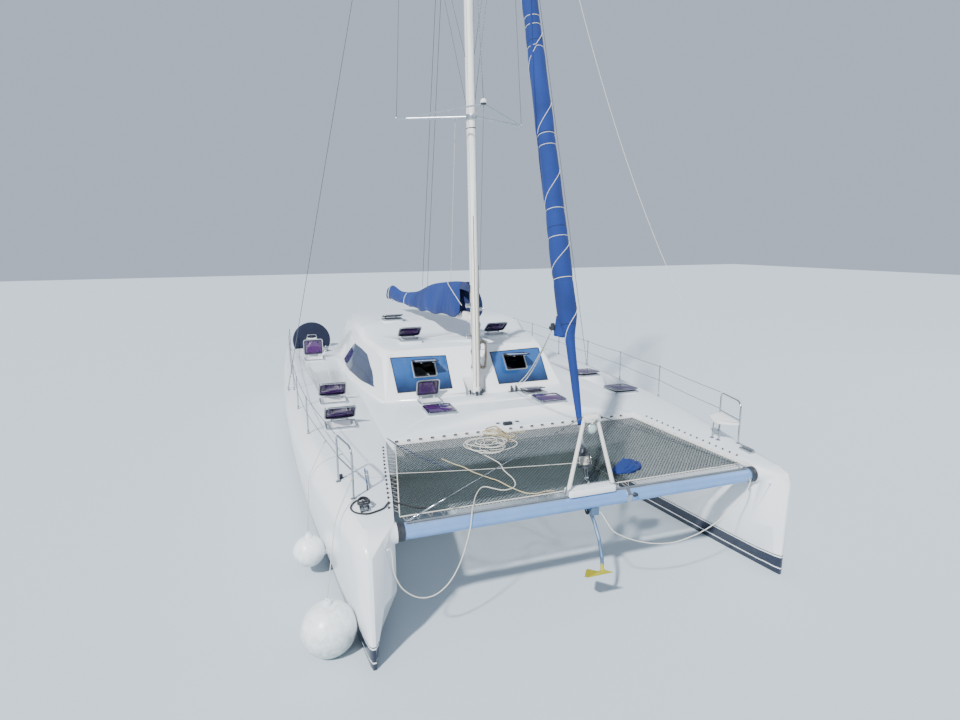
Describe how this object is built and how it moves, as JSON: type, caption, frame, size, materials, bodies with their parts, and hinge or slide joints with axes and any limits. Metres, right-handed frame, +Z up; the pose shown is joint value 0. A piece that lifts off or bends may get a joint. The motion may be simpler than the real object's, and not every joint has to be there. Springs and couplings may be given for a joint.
{
  "type": "sailing catamaran",
  "caption": "Cruising sailing catamaran afloat with furled sails: hulls, coachroof, trampoline, rig, rudders and opening hatches.",
  "frame": {"origin": "amidships on the centreline, at the waterline", "axes": "+Z up, bow toward -Y, starboard at -X, port at +X"},
  "size_m": [7.5275, 14.105, 20.075],
  "materials": {
    "gelcoat": "white gelcoat, satin on the decks",
    "smoked_acrylic": "smoked navy acrylic",
    "hatch_acrylic": "smoked purple acrylic in an aluminium frame",
    "anodised_aluminium": "silver anodised",
    "stainless": "polished tube and wire",
    "white_spar": "white spar paint",
    "cover_cloth": "royal blue acrylic canvas",
    "wheel_cloth": "navy acrylic canvas",
    "net_cord": "dark woven net with white lacing",
    "black_plastic": "moulded black",
    "galvanised_steel": "blue grey coating",
    "upholstery": "cream cloth",
    "fender_vinyl": "pale vinyl",
    "white_rope": "laid white rope",
    "antifouling": "navy antifouling paint",
    "bronze": "cast bronze"
  },
  "bodies": {
    "root": {"hull_starboard": "gelcoat", "hull_port": "gelcoat", "bridgedeck": "gelcoat", "coachroof": "gelcoat", "window_front_starboard": "smoked_acrylic", "window_side_starboard": "smoked_acrylic", "window_front_port": "smoked_acrylic", "window_side_port": "smoked_acrylic", "aft_bulkhead": "gelcoat", "saloon_settee": "upholstery", "galley_counter": "gelcoat", "cockpit_bench": "upholstery", "cockpit_table": "gelcoat", "crossbeam": "anodised_aluminium", "beam_striker": "white_spar", "trampoline": "net_cord", "windlass": "black_plastic", "anchor": "galvanised_steel", "pulpit_starboard": "stainless", "pulpit_port": "stainless", "guardrail_starboard": "stainless", "guardrail_port": "stainless", "mast": "white_spar", "spreaders_lower": "anodised_aluminium", "spreaders_upper": "anodised_aluminium", "shroud_starboard": "stainless", "shroud_port": "stainless", "headsail": "cover_cloth", "furler_drum": "black_plastic", "keel_starboard": "antifouling", "saildrive_starboard": "antifouling", "keel_port": "antifouling", "saildrive_port": "antifouling", "fender_forward": "fender_vinyl", "fender_aft": "fender_vinyl", "bridle_starboard": "white_rope", "bridle_port": "white_rope", "rope_pile": "white_rope"},
    "boom": {"boom": "white_spar", "sail_cover": "cover_cloth"},
    "saloon_door": {"saloon_door": "smoked_acrylic"},
    "wheel_starboard": {"wheel_starboard": "wheel_cloth"},
    "wheel_port": {"wheel_port": "wheel_cloth"},
    "rudder_starboard": {"rudder_starboard": "antifouling"},
    "rudder_port": {"rudder_port": "antifouling"},
    "propeller_starboard": {"propeller_starboard": "bronze"},
    "propeller_port": {"propeller_port": "bronze"},
    "lid_hull_fore_starboard": {"hatch_hull_fore_starboard": "hatch_acrylic"},
    "lid_hull_fore_port": {"hatch_hull_fore_port": "hatch_acrylic"},
    "lid_hull_mid_starboard": {"hatch_hull_mid_starboard": "hatch_acrylic"},
    "lid_hull_mid_port": {"hatch_hull_mid_port": "hatch_acrylic"},
    "lid_hull_aft_starboard": {"hatch_hull_aft_starboard": "hatch_acrylic"},
    "lid_hull_aft_port": {"hatch_hull_aft_port": "hatch_acrylic"},
    "lid_foredeck_aft_starboard": {"hatch_foredeck_aft_starboard": "hatch_acrylic"},
    "lid_foredeck_aft_port": {"hatch_foredeck_aft_port": "hatch_acrylic"},
    "lid_foredeck_fore_starboard": {"hatch_foredeck_fore_starboard": "hatch_acrylic"},
    "lid_foredeck_fore_port": {"hatch_foredeck_fore_port": "hatch_acrylic"},
    "lid_roof_fore_starboard": {"hatch_roof_fore_starboard": "hatch_acrylic"},
    "lid_roof_fore_port": {"hatch_roof_fore_port": "hatch_acrylic"},
    "lid_roof_aft_starboard": {"hatch_roof_aft_starboard": "hatch_acrylic"}
  },
  "joints": [
    {"name": "boom_swing", "type": "hinge", "parent": "root", "child": "boom", "pos_m": [0, -1.62, 3.28], "axis": [0, 0, 1], "range_deg": [-67, 53]},
    {"name": "door_slide", "type": "slide", "parent": "root", "child": "saloon_door", "axis": [1, 0, 0], "range_m": [0, 0.82]},
    {"name": "hull_fore_starboard_open", "type": "hinge", "parent": "root", "child": "lid_hull_fore_starboard", "pos_m": [-2.86, -2.88, 1.793], "axis": [-1, 0, 0], "range_deg": [-40, 45]},
    {"name": "hull_fore_port_open", "type": "hinge", "parent": "root", "child": "lid_hull_fore_port", "pos_m": [2.9, -2.4, 1.793], "axis": [-1, 0, 0], "range_deg": [-3, 82]},
    {"name": "hull_mid_starboard_open", "type": "hinge", "parent": "root", "child": "lid_hull_mid_starboard", "pos_m": [-2.84, -1.24, 1.793], "axis": [-1, 0, 0], "range_deg": [-44, 41]},
    {"name": "hull_mid_port_open", "type": "hinge", "parent": "root", "child": "lid_hull_mid_port", "pos_m": [2.94, -0.8, 1.793], "axis": [-1, 0, 0], "range_deg": [-4, 81]},
    {"name": "hull_aft_starboard_open", "type": "hinge", "parent": "root", "child": "lid_hull_aft_starboard", "pos_m": [-2.94, 3.24, 1.793], "axis": [-1, 0, 0], "range_deg": [-80, 5]},
    {"name": "hull_aft_port_open", "type": "hinge", "parent": "root", "child": "lid_hull_aft_port", "pos_m": [2.94, 3.24, 1.793], "axis": [-1, 0, 0], "range_deg": [0, 85]},
    {"name": "foredeck_aft_starboard_open", "type": "hinge", "parent": "root", "child": "lid_foredeck_aft_starboard", "pos_m": [-1.06, -1.99, 1.793], "axis": [-1, 0, 0], "range_deg": [-72, 13]},
    {"name": "foredeck_aft_port_open", "type": "hinge", "parent": "root", "child": "lid_foredeck_aft_port", "pos_m": [1.12, -1.99, 1.793], "axis": [-1, 0, 0], "range_deg": [-10, 75]},
    {"name": "foredeck_fore_starboard_open", "type": "hinge", "parent": "root", "child": "lid_foredeck_fore_starboard", "pos_m": [-1.05, -2.56, 1.793], "axis": [-1, 0, 0], "range_deg": [0, 85]},
    {"name": "foredeck_fore_port_open", "type": "hinge", "parent": "root", "child": "lid_foredeck_fore_port", "pos_m": [1.18, -2.56, 1.793], "axis": [-1, 0, 0], "range_deg": [0, 85]},
    {"name": "roof_fore_starboard_open", "type": "hinge", "parent": "root", "child": "lid_roof_fore_starboard", "pos_m": [-1.09, -0.43, 2.775], "axis": [-1, 0, 0], "range_deg": [-35, 50]},
    {"name": "roof_fore_port_open", "type": "hinge", "parent": "root", "child": "lid_roof_fore_port", "pos_m": [0.9, -0.43, 2.775], "axis": [-1, 0, 0], "range_deg": [-35, 50]},
    {"name": "roof_aft_starboard_open", "type": "hinge", "parent": "root", "child": "lid_roof_aft_starboard", "pos_m": [-1.15, 1.3, 3.008], "axis": [-1, 0, 0], "range_deg": [-12, 73]},
    {"name": "rudder_starboard_turn", "type": "hinge", "parent": "root", "child": "rudder_starboard", "pos_m": [-2.96, 6.1, -0.5], "axis": [0, 0, 1], "range_deg": [-35, 35]},
    {"name": "rudder_port_turn", "type": "hinge", "parent": "root", "child": "rudder_port", "pos_m": [2.96, 6.1, -0.5], "axis": [0, 0, 1], "range_deg": [-35, 35]},
    {"name": "wheel_starboard_turn", "type": "hinge", "parent": "root", "child": "wheel_starboard", "pos_m": [-2.89, 4.96, 1.95], "axis": [0, -1, 0], "range_deg": [-350, 350]},
    {"name": "wheel_port_turn", "type": "hinge", "parent": "root", "child": "wheel_port", "pos_m": [2.89, 4.96, 1.95], "axis": [0, -1, 0], "range_deg": [-350, 350]},
    {"name": "propeller_starboard_spin", "type": "hinge", "parent": "root", "child": "propeller_starboard", "pos_m": [-2.96, 4.5, -0.72], "axis": [0, 1, 0], "continuous": true},
    {"name": "propeller_port_spin", "type": "hinge", "parent": "root", "child": "propeller_port", "pos_m": [2.96, 4.5, -0.72], "axis": [0, 1, 0], "continuous": true}
  ],
  "couplings": [
    {"joint": "rudder_port_turn", "follows": "rudder_starboard_turn", "ratio": 1},
    {"joint": "wheel_starboard_turn", "follows": "rudder_starboard_turn", "ratio": 10},
    {"joint": "wheel_port_turn", "follows": "rudder_starboard_turn", "ratio": 10}
  ]
}
